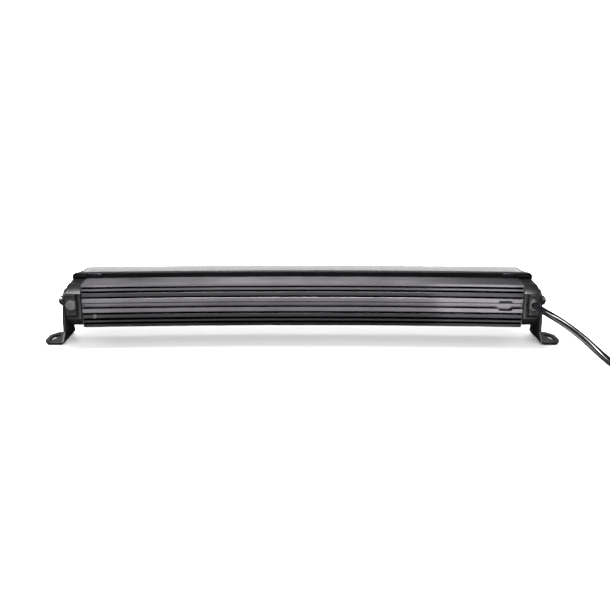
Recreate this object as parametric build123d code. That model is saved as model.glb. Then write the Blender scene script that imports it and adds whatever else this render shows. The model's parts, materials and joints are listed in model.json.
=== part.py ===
from build123d import *

import math
import os

# LED light bar: a gently curved, finned extrusion on two L-shaped feet.
# Millimetres. +X runs along the bar to the cable end, +Y is the way the light shines, +Z is up.
# The origin is the middle of the footprint, at the underside of the feet.

# ---------- driving dimensions ----------
# The bar bends about a vertical axis behind it. Depths y are measured at the middle of the bar.
BEND_R = 3900.0
HALF_LENGTH = 280.0
END_CUT_X = 262.0
CAP_GASKET_T = 1.0
CAP_SCREW_SEAT = 9.5

BODY_TOP = 67.5
BODY_BOTTOM = 15.7
BODY_REAR = -23.2
FRAME_REAR = 12.3
HOUSING_FRONT = 15.7
FRAME_LEDGE = 17.25
FRAME_FRONT = 20.2
LENS_FRONT = 51.7

SLOT_Z = 42.5
FIN_TIP = -25.2
LIP_TIP = -25.7
FIN_ROOT = -13.2
SLOT_HALF_MOUTH = 3.8
SLOT_HALF_INSIDE = 5.9
SLOT_HALF_OUTSIDE = 8.6
SLOT_FLOOR = -21.0
LIP_T = 1.7
NOTCH_X = 242.0
NOTCH_LENGTH = 17.0
THICK_FIN = (10.7, 15.3)
THIN_FIN = (18.0, 20.0)
PORT_HOLE_R = 1.95
PORT_YZ = ((-19.0, SLOT_Z + 13.0), (-19.0, SLOT_Z - 13.0), (6.6, 61.3), (6.6, 22.9))

LED_WALL_REAR = -1.2
LED_WALL_FRONT = 2.8
HOLLOW_REAR = -10.8
HOLLOW_Z = (26.0, 60.0)

FRAME_TOP = 73.8
FRAME_BOTTOM = 11.5
FACE_Z = (FRAME_TOP + FRAME_BOTTOM) / 2
LENS_HALF_LENGTH = 275.0
LENS_FRONT_HALF = 269.5
LENS_WALL = 2.6

PAD_REAR = -40.7
CAP_REAR = -36.7
PAD_X = (266.6, 279.0)
PAD_Z = (33.0, 57.6)
PORT_X = 272.2
PORT_Z = 45.3
PORT_R = 7.2

PIVOT_Y = -21.7
PIVOT_Z = 46.5
PLATE_INNER_X = HALF_LENGTH + 0.3
PLATE_T = 3.0
FOOT_REAR = -51.7
FOOT_FRONT = -6.7
FOOT_OUT_X = 305.5
SLOT_CENTRE = (295.5, -32.0)
FOOT_SLOT = (9.0, 24.0)

LED_COUNT = 10
LED_PITCH = 53.0
CUP_R = 24.5
CUP_FRONT = 46.5
CUP_WALL = 1.2
TRAY_REAR = 23.4
TRAY_END_TURN = 0.012

CABLE_D = 8.0
COIL_Z = 5.0
COIL_CENTRE = (389.6, -131.2)
COIL_MEAN_R = 42.0

BEND_AXIS = Axis((0, -BEND_R, 0), (0, 0, 1))


# ---------- helpers for the curved bar ----------
def turn_at(x, y=0.0):
    """The bend's angle, in degrees, at which depth y has this X."""
    return math.degrees(math.asin(x / (BEND_R + y)))


def bar_point(turn, y, z):
    """The place of depth y and height z after the bend's angle."""
    a = math.radians(turn)
    return Vector((BEND_R + y) * math.sin(a), (BEND_R + y) * math.cos(a) - BEND_R, z)


def area(y0, y1, z0, z1):
    """A rectangle of the bar's section, in its middle plane."""
    middle = Pos((y0 + y1) / 2, (z0 + z1) / 2)
    return middle * Rectangle(y1 - y0, z1 - z0)


def along_bar(section, turn0, turn1):
    """Sweep a section, drawn as (y, z), along the bend between two angles."""
    face = Plane.YZ * section
    start = face.rotate(BEND_AXIS, -turn1)
    return revolve(start, BEND_AXIS, turn1 - turn0)


def block(y0, y1, z0, z1, turn0, turn1):
    return along_bar(area(y0, y1, z0, z1), turn0, turn1)


def both_ways(y0, y1, z0, z1, turn):
    return block(y0, y1, z0, z1, -turn, turn)


def box(x0, x1, y0, y1, z0, z1):
    middle = Pos((x0 + x1) / 2, (y0 + y1) / 2, (z0 + z1) / 2)
    return middle * Box(x1 - x0, y1 - y0, z1 - z0)


def rod(start, direction, radius, length):
    """A round rod from a point along a direction."""
    return Plane(origin=start, z_dir=direction) * Cylinder(
        radius, length, align=(Align.CENTER, Align.CENTER, Align.MIN)
    )


def front_window(half_x, z0, z1, radius):
    """A rounded rectangle seen from the front, as a long prism along Y."""
    plane = Plane(origin=(0, 90, (z0 + z1) / 2), x_dir=(1, 0, 0), z_dir=(0, -1, 0))
    return extrude(plane * RectangleRounded(2 * half_x, z1 - z0, radius), 180)


def group(pieces):
    return Compound(children=list(pieces))


def other_side(shape):
    return mirror(shape, about=Plane.YZ)


def both_sides(shape):
    return group([shape, other_side(shape)])


END_TURN = turn_at(END_CUT_X)
CAP_TURN = END_TURN + math.degrees(CAP_GASKET_T / BEND_R)
WIDE_TURN = turn_at(290.0)
VENT_TURN = turn_at(-248.0)


# ---------- housing ----------
def fin_pair(low, high):
    """The same fin above and below the middle of the T-slot."""
    upper = area(FIN_TIP, FIN_ROOT, SLOT_Z + low, SLOT_Z + high)
    lower = area(FIN_TIP, FIN_ROOT, SLOT_Z - high, SLOT_Z - low)
    return upper + lower


def housing_section():
    s = area(FIN_ROOT, LED_WALL_FRONT, BODY_BOTTOM, BODY_TOP)
    s += area(BODY_REAR, HOUSING_FRONT, BODY_TOP - 2.6, BODY_TOP)
    s += area(BODY_REAR, HOUSING_FRONT, BODY_BOTTOM, BODY_BOTTOM + 3.5)
    s += fin_pair(*THICK_FIN)
    s += fin_pair(*THIN_FIN)
    s += area(LIP_TIP, FIN_ROOT, SLOT_Z - SLOT_HALF_OUTSIDE, SLOT_Z + SLOT_HALF_OUTSIDE)
    tips = [v for v in s.vertices() if v.X < FIN_TIP + 2.5]
    plates = [v for v in tips if abs(v.Y - SLOT_Z) > THIN_FIN[1] + 1]
    thin = [v for v in tips if THIN_FIN[0] - 1 < abs(v.Y - SLOT_Z) < THIN_FIN[1] + 1]
    thick = [v for v in tips if abs(v.Y - SLOT_Z) < THIN_FIN[0] - 1]
    for corners, radius in ((plates, 1.25), (thin, 0.95), (thick, 0.6)):
        s = fillet(corners, radius)
    inside = SLOT_HALF_INSIDE
    s -= area(LIP_TIP + LIP_T, SLOT_FLOOR, SLOT_Z - inside, SLOT_Z + inside)
    mouth = SLOT_HALF_MOUTH
    s -= area(LIP_TIP - 1, SLOT_FLOOR, SLOT_Z - mouth, SLOT_Z + mouth)
    s -= area(HOLLOW_REAR, LED_WALL_REAR, *HOLLOW_Z)
    s += area(LED_WALL_FRONT, 10.4, 58.6, BODY_TOP - 1)
    s += area(LED_WALL_FRONT, 10.4, BODY_BOTTOM + 1, 25.6)
    for y, z in PORT_YZ:
        s -= Pos(y, z) * Circle(PORT_HOLE_R)
    return s


def board_screw_turns():
    half = LED_COUNT // 2
    return [turn_at(i * LED_PITCH) for i in range(-half + 1, half)]


def outward(turn):
    a = math.radians(turn)
    return Vector(math.sin(a), math.cos(a), 0)


def housing():
    body = along_bar(housing_section(), -END_TURN, END_TURN)
    # the notch where sliding nuts enter the T-slot
    notch = box(-NOTCH_LENGTH / 2, NOTCH_LENGTH / 2, -12, 0, -6.2, 6.2)
    notch = fillet(notch.edges().filter_by(Axis.Y), 3.0)
    turn = turn_at(NOTCH_X)
    place = bar_point(turn, SLOT_FLOOR, SLOT_Z)
    body -= Pos(*place) * Rot(0, 0, -turn) * notch
    for turn in board_screw_turns():
        body -= rod(bar_point(turn, LED_WALL_REAR - 1, FACE_Z), outward(turn), 1.55, 8)
    # the wires pass from the hollow to the LED board
    place = bar_point(turn_at(215), HOLLOW_REAR + 5, 34)
    body -= rod(place, outward(turn_at(215)), 3.0, 12)
    # the breather's seat in the lower thick fin
    body -= rod(vent_place(), outward(VENT_TURN), 2.0, 5.2)
    return body


def vent_place():
    return bar_point(VENT_TURN, FIN_TIP - 0.6, SLOT_Z - 13.0)


def breather_vent():
    head = rod(vent_place(), outward(VENT_TURN), 2.6, 0.6)
    return head + rod(vent_place(), outward(VENT_TURN), 1.95, 5)


# ---------- end caps ----------
def cap_outline():
    """The cap seen along X: a flat rear face with a rounded shoulder above and below."""
    rear, front = CAP_REAR, 6.0
    top_rear, top_front = (rear, PAD_Z[1]), (-14.0, 66.2)
    low_rear, low_front = (rear, 27.6), (-22.5, 15.9)
    edges = [
        ThreePointArc(top_rear, (-29.0, 63.2), top_front),
        Line(top_front, (front, BODY_TOP)),
        Line((front, BODY_TOP), (front, BODY_BOTTOM + 0.2)),
        Line((front, BODY_BOTTOM + 0.2), low_front),
        ThreePointArc(low_front, (-29.2, 20.8), low_rear),
        Line(low_rear, top_rear),
    ]
    return make_face(edges)


def cap_screw_places():
    return [bar_point(CAP_TURN, y, z) for y, z in PORT_YZ]


def tangent(turn):
    a = math.radians(turn)
    return Vector(math.cos(a), -math.sin(a), 0)


def end_cap():
    """The right-hand cap; the left one is its mirror image."""
    plane = Plane(origin=(HALF_LENGTH, 0, 0), x_dir=(0, 1, 0), z_dir=(1, 0, 0))
    cap = extrude(plane * cap_outline(), -26)
    cap = chamfer(cap.faces().sort_by(Axis.X)[-1].edges(), 1.2)
    cap &= block(-95, FRAME_REAR, 0, 90, CAP_TURN, WIDE_TURN)
    spigot_end = turn_at(276.8, FRAME_REAR)
    cap += block(FRAME_REAR, HOUSING_FRONT, 19.4, 64.7, CAP_TURN, spigot_end)
    # a rimmed pocket in the rear face with a raised pad in it
    cap -= box(265.8, PAD_X[1], CAP_REAR - 1, CAP_REAR + 2, 29.8, PAD_Z[1])
    pad = box(*PAD_X, PAD_REAR, CAP_REAR + 2.5, *PAD_Z)
    pad = chamfer(pad.faces().sort_by(Axis.Y)[0].edges(), 0.5)
    cap += pad
    # room for the wires, open towards the housing
    cap -= box(258, 276, -31.5, -4, 27, 60)
    boss = rod(Vector(267.4, PIVOT_Y, PIVOT_Z), Vector(1, 0, 0), 7.4, 10)
    cap += boss
    cap -= rod(Vector(PORT_X, PAD_REAR - 1, PORT_Z), Vector(0, 1, 0), PORT_R, 11)
    cap -= rod(Vector(269.0, PIVOT_Y, PIVOT_Z), Vector(1, 0, 0), 4.5, 20)
    out = tangent(CAP_TURN)
    for place in cap_screw_places():
        cap -= rod(place - out * 2, out, 2.1, 40)
        cap -= rod(place + out * CAP_SCREW_SEAT, out, 3.8, 40)
    return cap


def cap_screws():
    out = tangent(CAP_TURN)
    screws = []
    for place in cap_screw_places():
        seat = place + out * CAP_SCREW_SEAT
        head = rod(seat, out, 3.5, 2.2)
        head -= rod(seat + out * 1.0, out, 1.1, 3)
        shank = rod(seat, out * -1, 1.9, 22)
        screws.append(head + shank)
    return both_sides(group(screws))


def cap_gasket():
    ring = area(BODY_REAR + 1, HOUSING_FRONT - 1, BODY_BOTTOM + 0.6, BODY_TOP - 0.6)
    ring -= area(HOLLOW_REAR, LED_WALL_REAR, *HOLLOW_Z)
    ring -= area(LED_WALL_FRONT + 1, HOUSING_FRONT, 26.5, 57.5)
    for y, z in PORT_YZ:
        ring -= Pos(y, z) * Circle(2.3)
    return along_bar(ring, END_TURN, CAP_TURN)


def blank_plug():
    """The round plug in the left cap, cut flat where it meets the pad's inner edge."""
    plug = rod(Vector(PORT_X, PAD_REAR - 0.3, PORT_Z), Vector(0, 1, 0), PORT_R - 0.25, 7.3)
    plug += rod(Vector(PORT_X, PAD_REAR + 5, PORT_Z), Vector(0, 1, 0), 5.4, 4.9)
    plug &= box(PAD_X[0] + 0.5, 290, -60, 0, 0, 90)
    return other_side(plug)


def cable_gland():
    """A ribbed rubber grommet that the cable leaves through."""
    mouth = Vector(PORT_X, PAD_REAR - 0.6, PORT_Z)
    body = rod(mouth, Vector(0, 1, 0), PORT_R - 0.1, 7.6)
    nose = Plane(origin=mouth, z_dir=(0, -1, 0)) * Cone(
        5.9, 5.0, 1.9, align=(Align.CENTER, Align.CENTER, Align.MIN)
    )
    body += nose
    body &= box(PAD_X[0] + 0.2, 290, -60, 0, 0, 90)
    return body - rod(mouth - Vector(0, 6, 0), Vector(0, 1, 0), CABLE_D / 2, 20)


def pivot_inserts():
    insert = rod(Vector(269.0, PIVOT_Y, PIVOT_Z), Vector(1, 0, 0), 4.5, 10.8)
    insert -= rod(Vector(268.0, PIVOT_Y, PIVOT_Z), Vector(1, 0, 0), 3.02, 14)
    return both_sides(insert)


# ---------- front frame, lens and seal ----------
def front_frame():
    frame = both_ways(FRAME_REAR, FRAME_FRONT, FRAME_BOTTOM, FRAME_TOP, WIDE_TURN)
    frame &= front_window(HALF_LENGTH, FRAME_BOTTOM, FRAME_TOP, 3.5)
    # cheeks that run forward beside the ends of the lens
    cheek_plan = Polyline((275.2, 6), (279.9, 6), (278.6, 24), (276.2, 31), (275.2, 31), close=True)
    cheek = extrude(make_face(cheek_plan), 57.0)
    cheek = Pos(0, 0, 14.0) * cheek
    frame += cheek
    frame += other_side(cheek)
    rear_room = both_ways(0, FRAME_LEDGE, BODY_BOTTOM - 0.1, BODY_TOP + 0.1, WIDE_TURN)
    frame -= rear_room & front_window(277.1, BODY_BOTTOM - 0.1, BODY_TOP + 0.1, 1.0)
    lip_room = both_ways(FRAME_LEDGE, 30, 14.9, 70.4, WIDE_TURN)
    frame -= lip_room & front_window(274.6, 14.9, 70.4, 2.0)
    rib = block(FRAME_REAR - 0.7, FRAME_REAR, 70.0, 70.8, turn_at(260.5), turn_at(277))
    frame += rib
    frame += other_side(rib)
    for x, z in clip_places():
        place = bar_point(turn_at(x), FRAME_REAR - 1, z)
        frame -= rod(place, outward(turn_at(x)), 1.3, 6)
    return frame


def clip_places():
    return [(x, z) for x in (-246.5, 246.5) for z in (71.4, FRAME_BOTTOM + 2.0)]


def frame_clips():
    """Small spring plates that hold the frame near its corners."""
    clips = []
    for x, z in clip_places():
        side = math.copysign(1, x)
        ends = sorted((turn_at(side * 243.4), turn_at(side * 260.0)))
        clip = block(FRAME_REAR - 1.0, FRAME_REAR, z - 1.9, z + 1.9, *ends)
        clip -= rod(bar_point(turn_at(x), FRAME_REAR - 2, z), outward(turn_at(x)), 1.3, 4)
        clips.append(clip)
    return group(clips)


def frame_clip_screws():
    screws = []
    for x, z in clip_places():
        out = outward(turn_at(x))
        seat = bar_point(turn_at(x), FRAME_REAR - 1.0, z)
        head = rod(seat, out * -1, 1.8, 0.9)
        screws.append(head + rod(seat, out, 1.25, 4.6))
    return group(screws)


def lens_taper(inset):
    """The lens seen from above, a little shorter at its front than at its rear."""
    back, front = LENS_HALF_LENGTH - inset, LENS_FRONT_HALF - inset
    rear = FRAME_FRONT - 14.0
    turn = turn_at(front, LENS_FRONT)
    corner = bar_point(turn, LENS_FRONT, 0).Y
    middle = corner + front * math.tan(math.radians(turn))
    points = [(-back, rear), (back, rear), (front, corner), (0, middle), (-front, corner)]
    outline = make_face(Polyline(*points, close=True))
    outline = fillet([v for v in outline.vertices() if rear < v.Y < middle - 1], 3.5)
    return extrude(outline, 90)


def lens():
    section = area(FRAME_FRONT, LENS_FRONT, FRAME_BOTTOM, FRAME_TOP)
    section = fillet([v for v in section.vertices() if v.X > LENS_FRONT - 1], 2.5)
    shell = along_bar(section, -WIDE_TURN, WIDE_TURN)
    shell &= front_window(LENS_HALF_LENGTH, FRAME_BOTTOM, FRAME_TOP, 5.0)
    shell &= lens_taper(0)
    room = both_ways(FRAME_FRONT + 2.6, LENS_FRONT - 3.0, 14.1, 71.2, WIDE_TURN)
    room &= front_window(LENS_HALF_LENGTH - LENS_WALL, 14.1, 71.2, 3.0)
    room &= lens_taper(LENS_WALL)
    shell -= room
    tongue = both_ways(FRAME_LEDGE + 0.15, FRAME_FRONT, 15.1, 70.2, WIDE_TURN)
    tongue &= front_window(274.4, 15.1, 70.2, 2.0)
    shell += tongue
    mouth = both_ways(FRAME_LEDGE - 1, FRAME_FRONT + 2.7, 18.9, 66.4, WIDE_TURN)
    shell -= mouth & front_window(270.4, 18.9, 66.4, 2.0)
    return shell


def lens_gasket():
    ring = both_ways(HOUSING_FRONT + 0.1, FRAME_LEDGE, 16.3, 67.2, WIDE_TURN)
    ring &= front_window(276.8, 16.3, 67.2, 1.0)
    hole = both_ways(0, 30, 19.6, 64.6, WIDE_TURN)
    return ring - (hole & front_window(271.5, 19.6, 64.6, 2.0))


# ---------- light and electronics ----------
def led_turns():
    first = -(LED_COUNT - 1) / 2
    return [turn_at((first + i) * LED_PITCH) for i in range(LED_COUNT)]


def cup_radius(y):
    """A parabola: 6 mm at the LED, the full radius at the front."""
    rise = (CUP_R**2 - 36.0) / (CUP_FRONT - 6.0)
    return math.sqrt(36.0 + rise * (y - 6.0))


def one_cup():
    """A reflector with its axis along Z and its LED at the origin's height."""
    depths = [6.0, 12.0, 22.0, 34.0, CUP_FRONT]
    inner = [(cup_radius(y), y) for y in depths]
    outer = [(cup_radius(y) + CUP_WALL, y) for y in depths]
    foot_y = 4.7
    edges = [
        Spline(*inner),
        Line(inner[-1], outer[-1]),
        Spline(*reversed(outer)),
        Line(outer[0], (outer[0][0], foot_y)),
        Line((outer[0][0], foot_y), (inner[0][0], foot_y)),
        Line((inner[0][0], foot_y), inner[0]),
    ]
    return revolve(Plane.XZ * make_face(edges), Axis.Z, 360)


def reflector_cups():
    cup = one_cup()
    cups = []
    for turn in led_turns():
        frame = Plane(origin=bar_point(turn, 0, FACE_Z), z_dir=outward(turn))
        cups.append(frame * cup)
    return group(cups)


def reflector_plate():
    """A silvered tray: its front is cut for the cups, and its edges fold back inside the lens."""
    end = turn_at(263.2)
    plate = both_ways(CUP_FRONT - 1.4, CUP_FRONT, 15.0, 70.3, end)
    for z in (15.0, 69.5):
        plate += both_ways(TRAY_REAR, CUP_FRONT, z, z + 0.8, end)
    for side in (-end, end - TRAY_END_TURN):
        plate += block(TRAY_REAR, CUP_FRONT, 15.0, 70.3, side, side + TRAY_END_TURN)
    for turn in led_turns():
        plate -= rod(bar_point(turn, 30, FACE_Z), outward(turn), CUP_R + CUP_WALL + 0.05, 30)
    return plate


def led_board():
    board = both_ways(3.1, 4.65, 26.6, 57.4, turn_at(260.0))
    for turn in board_screw_turns():
        board -= rod(bar_point(turn, 0, FACE_Z), outward(turn), 1.7, 9)
    return board


def thermal_pad():
    pad = both_ways(LED_WALL_FRONT, 3.1, 27.2, 56.8, turn_at(258.0))
    for turn in board_screw_turns():
        pad -= rod(bar_point(turn, 0, FACE_Z), outward(turn), 1.8, 9)
    return pad


def leds():
    pieces = []
    for turn in led_turns():
        base = Plane(origin=bar_point(turn, 4.65, FACE_Z), z_dir=outward(turn))
        package = base * Pos(0, 0, 0.6) * Box(7, 7, 1.2)
        dome = base * Pos(0, 0, 1.1) * Sphere(2.7)
        dome &= base * Pos(0, 0, 3.1) * Box(8, 8, 4.0)
        pieces.append(package + dome)
    return group(pieces)


def board_screws():
    screws = []
    for turn in board_screw_turns():
        out = outward(turn)
        seat = bar_point(turn, 4.65, FACE_Z)
        screws.append(rod(seat, out, 2.75, 1.8) + rod(seat, out * -1, 1.5, 5.6))
    return group(screws)


def driver_pad():
    return block(HOLLOW_REAR, HOLLOW_REAR + 0.5, 29, 57, turn_at(92), turn_at(232))


def driver_board():
    return block(HOLLOW_REAR + 0.5, HOLLOW_REAR + 2.1, 28, 58, turn_at(90), turn_at(234))


def driver_components():
    """Two coils, capacitors and chips along the driver board."""
    front = HOLLOW_REAR + 2.1
    parts = []
    for x, z, size, height in ((112, 43, 12, 5.5), (150, 47, 12, 5.5)):
        base = Plane(origin=bar_point(turn_at(x), front, z), z_dir=outward(turn_at(x)))
        parts.append(base * Pos(0, 0, height / 2) * Box(size, size, height))
    for x, z in ((131, 36), (131, 50), (170, 36), (170, 50)):
        place = bar_point(turn_at(x), front, z)
        parts.append(rod(place, outward(turn_at(x)), 4.0, 6.2))
    for x, z in ((188, 38), (188, 48), (204, 43)):
        base = Plane(origin=bar_point(turn_at(x), front, z), z_dir=outward(turn_at(x)))
        parts.append(base * Pos(0, 0, 0.9) * Box(7, 5, 1.8))
    return group(parts)


def tube(points, radii, diameter):
    """A round tube along straight runs joined by tangent arcs."""
    path = FilletPolyline(*points, radius=radii)
    plane = Plane(origin=path @ 0, z_dir=path % 0)
    solid = sweep(plane * Circle(diameter / 2), path=path)
    return solid, path.length


def route_radii(points):
    """Arcs as large as their two runs allow."""
    radii = []
    for a, b, c in zip(points, points[1:], points[2:]):
        before, after = Vector(*b) - Vector(*a), Vector(*c) - Vector(*b)
        half_turn = math.radians(before.get_angle(after)) / 2
        shorter = min(before.length, after.length)
        radii.append(0.45 * shorter / math.tan(half_turn))
    return radii


def power_wires():
    """Two wires from the cable's end, past the pivot's boss, to the driver board."""
    wires = []
    for dz in (-1.7, 1.7):
        points = [
            (PORT_X, -34.5, PORT_Z + dz),
            (PORT_X - 0.4, -31.0, PORT_Z + dz - 3),
            (270.0, -26.5, 36.0 + dz),
            (264.5, -18.4, 35.0 + dz),
            (256.0, -15.2, 34.0 + dz),
            (234.5, -13.0, 34.5 + dz),
        ]
        wires.append(tube(points, route_radii(points), 2.4)[0])
    return group(wires)


# ---------- brackets and their hardware ----------
def bracket_plate():
    """The upright plate seen along X: a round eye, a straight neck and a wide root."""
    eye_r = 14.0
    eye = Pos(PIVOT_Y, PIVOT_Z) * Circle(eye_r)
    neck = Polyline(
        (FOOT_REAR, 0),
        (FOOT_REAR, 2.5),
        (-40.0, 13.5),
        (-40.0, 26.0),
        (PIVOT_Y - eye_r, PIVOT_Z),
        (PIVOT_Y + eye_r, PIVOT_Z),
        (-3.0, 26.0),
        (-3.0, 12.0),
        (0.5, 3.0),
        (0.5, 0),
        close=True,
    )
    face = make_face(neck)
    corners = [v for v in face.vertices() if 10 < v.Y < 30]
    face = fillet(corners, 6.0)
    return face + eye


def foot_outline():
    inner = PLATE_INNER_X
    points = [
        (inner, FOOT_REAR),
        (298.6, FOOT_REAR),
        (FOOT_OUT_X, -39.0),
        (FOOT_OUT_X, -20.0),
        (298.6, -8.4),
        (291.0, FOOT_FRONT),
        (285.5, 0.5),
        (inner, 0.5),
    ]
    face = make_face(Polyline(*points, close=True))
    corners = [v for v in face.vertices() if v.X > inner + 10]
    face = fillet(corners, 3.2)
    slot = Pos(*SLOT_CENTRE) * SlotOverall(FOOT_SLOT[1], FOOT_SLOT[0], rotation=90)
    return face - slot


def bracket():
    """The right-hand bracket; the left one is its mirror image."""
    plane = Plane(origin=(PLATE_INNER_X, 0, 0), x_dir=(0, 1, 0), z_dir=(1, 0, 0))
    plate = extrude(plane * bracket_plate(), PLATE_T)
    foot = extrude(foot_outline(), PLATE_T)
    both = plate + foot
    along = both.edges().filter_by(Axis.Y)
    outer = [e for e in along if abs(e.center().Z) < 0.01 and e.center().X < PLATE_INNER_X + 0.01]
    both = fillet(outer, 4.0)
    along = both.edges().filter_by(Axis.Y)
    inner_x = PLATE_INNER_X + PLATE_T
    inner = [
        e
        for e in along
        if abs(e.center().Z - PLATE_T) < 0.01 and abs(e.center().X - inner_x) < 0.01
    ]
    both = fillet(inner, 1.0)
    both -= rod(Vector(275, PIVOT_Y, PIVOT_Z), Vector(1, 0, 0), 3.06, 20)
    for y in (-16.9, -31.3):
        both -= rod(Vector(275, y, 12.3), Vector(1, 0, 0), 1.75, 20)
    return both


BRACKET_OUTER_X = PLATE_INNER_X + PLATE_T
WASHER_X = BRACKET_OUTER_X + 0.2
WASHER_T = 1.2
SPRING_T = 1.6


def pivot_washers():
    start = Vector(WASHER_X, PIVOT_Y, PIVOT_Z)
    washer = rod(start, Vector(1, 0, 0), 6.6, WASHER_T)
    washer -= rod(start - Vector(1, 0, 0), Vector(1, 0, 0), 3.1, 4)
    return both_sides(chamfer(washer.faces().sort_by(Axis.X)[-1].edges(), 0.2))


def pivot_spring_washers():
    start = Vector(WASHER_X + WASHER_T, PIVOT_Y, PIVOT_Z)
    washer = rod(start, Vector(1, 0, 0), 5.4, SPRING_T)
    washer -= rod(start - Vector(1, 0, 0), Vector(1, 0, 0), 3.15, 4)
    gap = Pos(start.X, PIVOT_Y, PIVOT_Z + 4.5) * Box(6, 0.8, 4)
    return both_sides(washer - gap)


def pivot_bolts():
    """Dome-headed M6 bolts with a hexagon socket."""
    seat = Vector(WASHER_X + WASHER_T + SPRING_T, PIVOT_Y, PIVOT_Z)
    head = rod(seat, Vector(1, 0, 0), 5.8, 4.2)
    head = fillet(head.faces().sort_by(Axis.X)[-1].edges(), 2.6)
    socket_plane = Plane(origin=seat + Vector(4.3, 0, 0), x_dir=(0, 1, 0), z_dir=(-1, 0, 0))
    socket = extrude(socket_plane * RegularPolygon(2.3, 6), 2.6)
    shank = rod(seat, Vector(-1, 0, 0), 3.0, seat.X - 270.5)
    return both_sides(head - socket + shank)


# ---------- power cable ----------
CABLE_ROUTE = [
    (PORT_X, -34.5, PORT_Z),
    (273.6, -52.5, 45.1),
    (281.5, -68.0, 42.0),
    (296.0, -84.0, 34.8),
    (313.0, -101.0, 22.5),
    (325.5, -121.0, 10.5),
    (334.5, -141.0, 4.3),
    (346.0, -157.0, 4.2),
    (363.0, -169.0, COIL_Z),
]
TAIL_ROUTE = [
    (429.4, -117.7, 13.6),
    (423.5, -100.5, 14.0),
    (419.0, -82.5, 12.6),
    (417.5, -64.0, 9.8),
]
PLUG_X, PLUG_Z = TAIL_ROUTE[-1][0], TAIL_ROUTE[-1][2]
PLUG_REAR = TAIL_ROUTE[-1][1]


def cord(points, name):
    radii = route_radii(points)
    solid, length = tube(points, radii, CABLE_D)
    section = math.pi * CABLE_D**2 / 4
    print(name, "radii", [round(r) for r in radii], "length", round(length, 1))
    print(name, "volume", round(solid.volume), "section x length", round(section * length))
    return solid


def cable_coil():
    """The outside of two turns on the floor with the last one lying on them."""
    low, high = COIL_Z - CABLE_D / 2, COIL_Z + CABLE_D / 2
    wide, narrow, top = 8.4, 4.6, COIL_Z + 12.6
    section = Polyline(
        (COIL_MEAN_R - wide, low),
        (COIL_MEAN_R + wide, low),
        (COIL_MEAN_R + wide, high),
        (COIL_MEAN_R + narrow, top),
        (COIL_MEAN_R - narrow, top),
        (COIL_MEAN_R - wide, high),
        close=True,
    )
    ring = revolve(Plane.XZ * make_face(section), Axis.Z, 360)
    return Pos(*COIL_CENTRE, 0) * ring


def cable_tie():
    """A flat strap round the coil's turns."""
    top = COIL_Z + 13.6
    strap = box(COIL_MEAN_R - 9.7, COIL_MEAN_R + 9.4, -4, 4, 0, top)
    inside = box(COIL_MEAN_R - 8.7, COIL_MEAN_R + 8.4, -6, 6, 1.0, top - 1.0)
    return Pos(*COIL_CENTRE, 0) * Rot(0, 0, 250) * (strap - inside)


def connector_housing():
    body = box(PLUG_X - 9, PLUG_X + 9, PLUG_REAR, PLUG_REAR + 34, 0, 2 * PLUG_Z)
    body = fillet(body.edges().filter_by(Axis.Y), 3.0)
    latch = box(PLUG_X - 4, PLUG_X + 4, PLUG_REAR + 14, PLUG_REAR + 36, 2 * PLUG_Z, 2 * PLUG_Z + 2)
    body += latch
    body -= box(PLUG_X - 7, PLUG_X + 7, PLUG_REAR + 20, PLUG_REAR + 40, 2.6, 2 * PLUG_Z - 2.6)
    mouth = Vector(PLUG_X, PLUG_REAR - 1, PLUG_Z)
    body -= rod(mouth, Vector(0, 1, 0), 6.0, 9)
    return body


def connector_seal():
    mouth = Vector(PLUG_X, PLUG_REAR, PLUG_Z)
    return rod(mouth, Vector(0, 1, 0), 6.0, 8)


def connector_wedge():
    wedge = box(PLUG_X - 6, PLUG_X + 6, PLUG_REAR + 20, PLUG_REAR + 30, 4.0, 2 * PLUG_Z - 4.0)
    for dx in (-3.2, 3.2):
        start = Vector(PLUG_X + dx, PLUG_REAR + 19, PLUG_Z)
        wedge -= rod(start, Vector(0, 1, 0), 1.6, 20)
    return wedge


def connector_pins():
    pins = []
    for dx in (-3.2, 3.2):
        start = Vector(PLUG_X + dx, PLUG_REAR + 20, PLUG_Z)
        pins.append(rod(start, Vector(0, 1, 0), 1.2, 12))
    return group(pins)


# ---------- write every node ----------
def main():
    cap = end_cap()
    arm = bracket()
    gasket = cap_gasket()
    nodes = {
        "housing": housing(),
        "breather_vent": breather_vent(),
        "right_end_cap": cap,
        "left_end_cap": other_side(cap),
        "end_cap_gaskets": both_sides(gasket),
        "end_cap_screws": cap_screws(),
        "blank_plug": blank_plug(),
        "cable_gland": cable_gland(),
        "pivot_inserts": pivot_inserts(),
        "front_frame": front_frame(),
        "frame_clips": frame_clips(),
        "frame_clip_screws": frame_clip_screws(),
        "lens": lens(),
        "lens_gasket": lens_gasket(),
        "reflector_cups": reflector_cups(),
        "reflector_plate": reflector_plate(),
        "led_board": led_board(),
        "thermal_pad": thermal_pad(),
        "leds": leds(),
        "board_screws": board_screws(),
        "driver_pad": driver_pad(),
        "driver_board": driver_board(),
        "driver_components": driver_components(),
        "power_wires": power_wires(),
        "right_bracket": arm,
        "left_bracket": other_side(arm),
        "pivot_washers": pivot_washers(),
        "pivot_spring_washers": pivot_spring_washers(),
        "pivot_bolts": pivot_bolts(),
        "power_cable": cord(CABLE_ROUTE, "power_cable"),
        "cable_coil": cable_coil(),
        "cable_tail": cord(TAIL_ROUTE, "cable_tail"),
        "cable_tie": cable_tie(),
        "connector_housing": connector_housing(),
        "connector_seal": connector_seal(),
        "connector_wedge": connector_wedge(),
        "connector_pins": connector_pins(),
    }
    os.makedirs("parts", exist_ok=True)
    for name, shape in nodes.items():
        export_step(shape, f"parts/{name}.step")


main()
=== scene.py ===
import json
import math

import bmesh
import bpy
from mathutils import Matrix, Vector
from mathutils.bvhtree import BVHTree


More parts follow.
